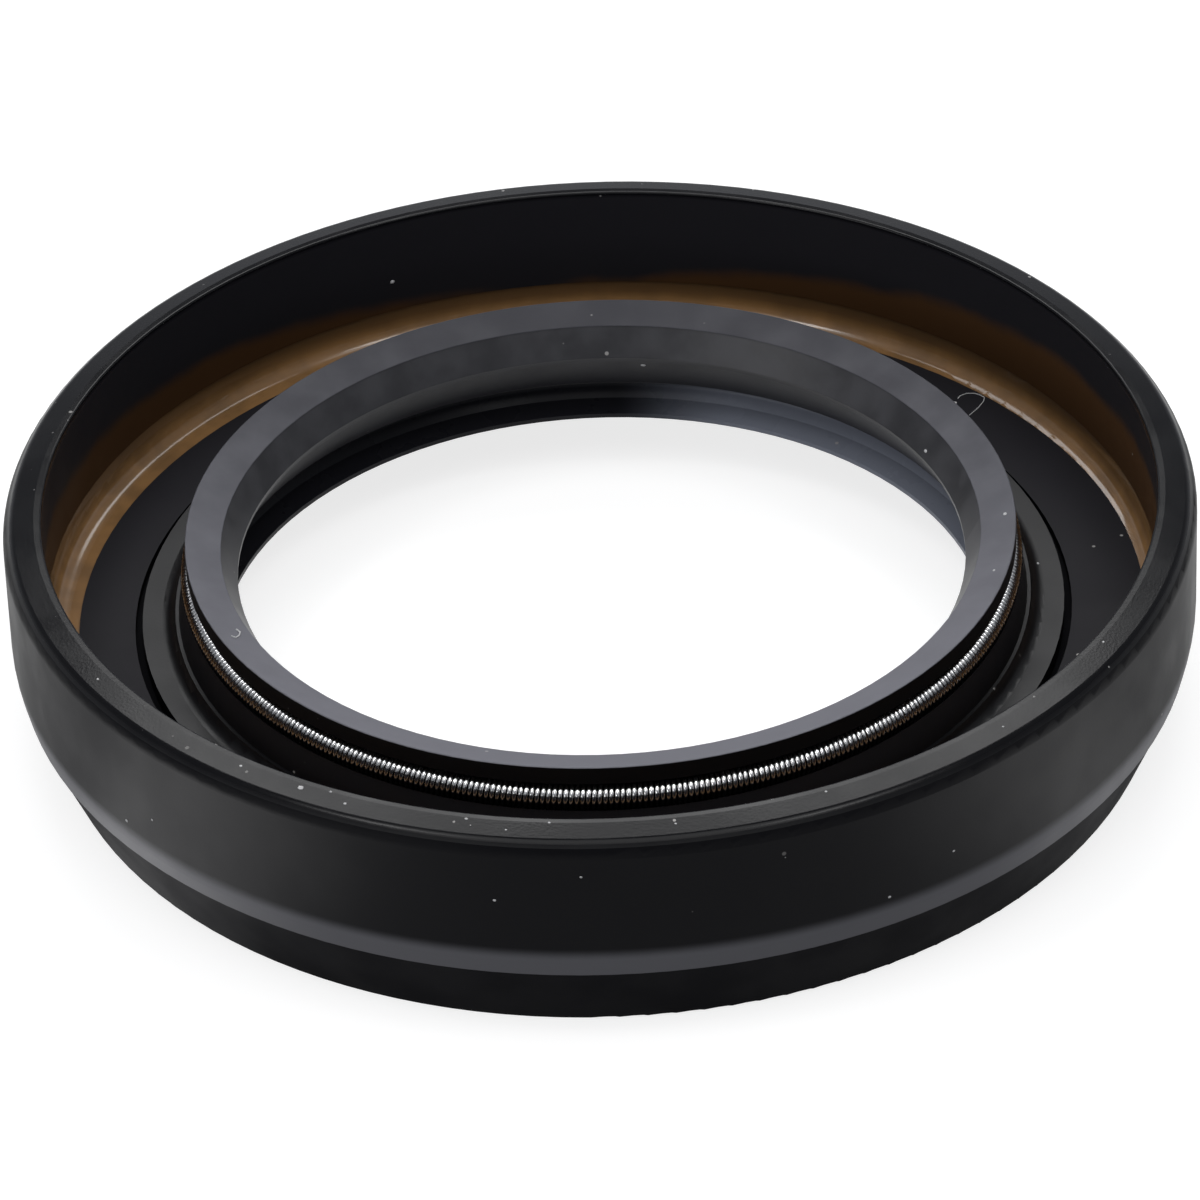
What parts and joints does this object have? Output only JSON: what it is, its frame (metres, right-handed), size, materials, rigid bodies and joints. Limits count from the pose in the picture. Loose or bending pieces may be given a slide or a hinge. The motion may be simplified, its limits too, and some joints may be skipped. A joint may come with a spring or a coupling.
{
  "type": "radial shaft seal",
  "caption": "Radial shaft seal: rubber-covered steel case with a sprung sealing lip, a dust lip, and a deep open rim with a tapered lead-in.",
  "frame": {"origin": "centre of the bottom face, on the axis", "axes": "+Z along the shaft's axis, towards the spring side; the section is the same all round it"},
  "size_m": [0.0624, 0.0624, 0.0125],
  "materials": {
    "rubber": "satin",
    "coated_steel": "satin",
    "spring_wire": "bright"
  },
  "bodies": {
    "root": {"rubber_body": "rubber", "steel_case": "coated_steel", "garter_spring": "spring_wire"}
  },
  "joints": []
}
